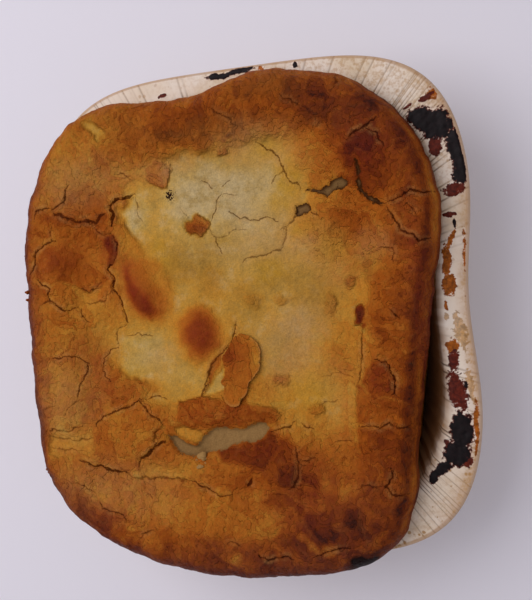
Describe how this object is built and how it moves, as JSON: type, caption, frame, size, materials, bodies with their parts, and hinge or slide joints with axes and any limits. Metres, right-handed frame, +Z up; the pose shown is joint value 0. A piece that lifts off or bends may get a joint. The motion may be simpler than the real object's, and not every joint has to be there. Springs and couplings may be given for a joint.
{
  "type": "scouse pie in a board tray",
  "caption": "Baked meat and vegetable pie with a browned, blistered and cracked pastry lid, standing in its own pleated pressed-board tray with a flat flange.",
  "frame": {"origin": "on the surface that the tray stands on, under the middle of the whole object's box", "axes": "+Z up out of the pie, +Y along the tray's longer side, +X across it"},
  "size_m": [0.1692, 0.1854, 0.0519],
  "materials": {
    "baked_crust": "satin",
    "pressed_board": "matte"
  },
  "bodies": {
    "root": {"pie": "baked_crust", "tray": "pressed_board"}
  },
  "joints": []
}
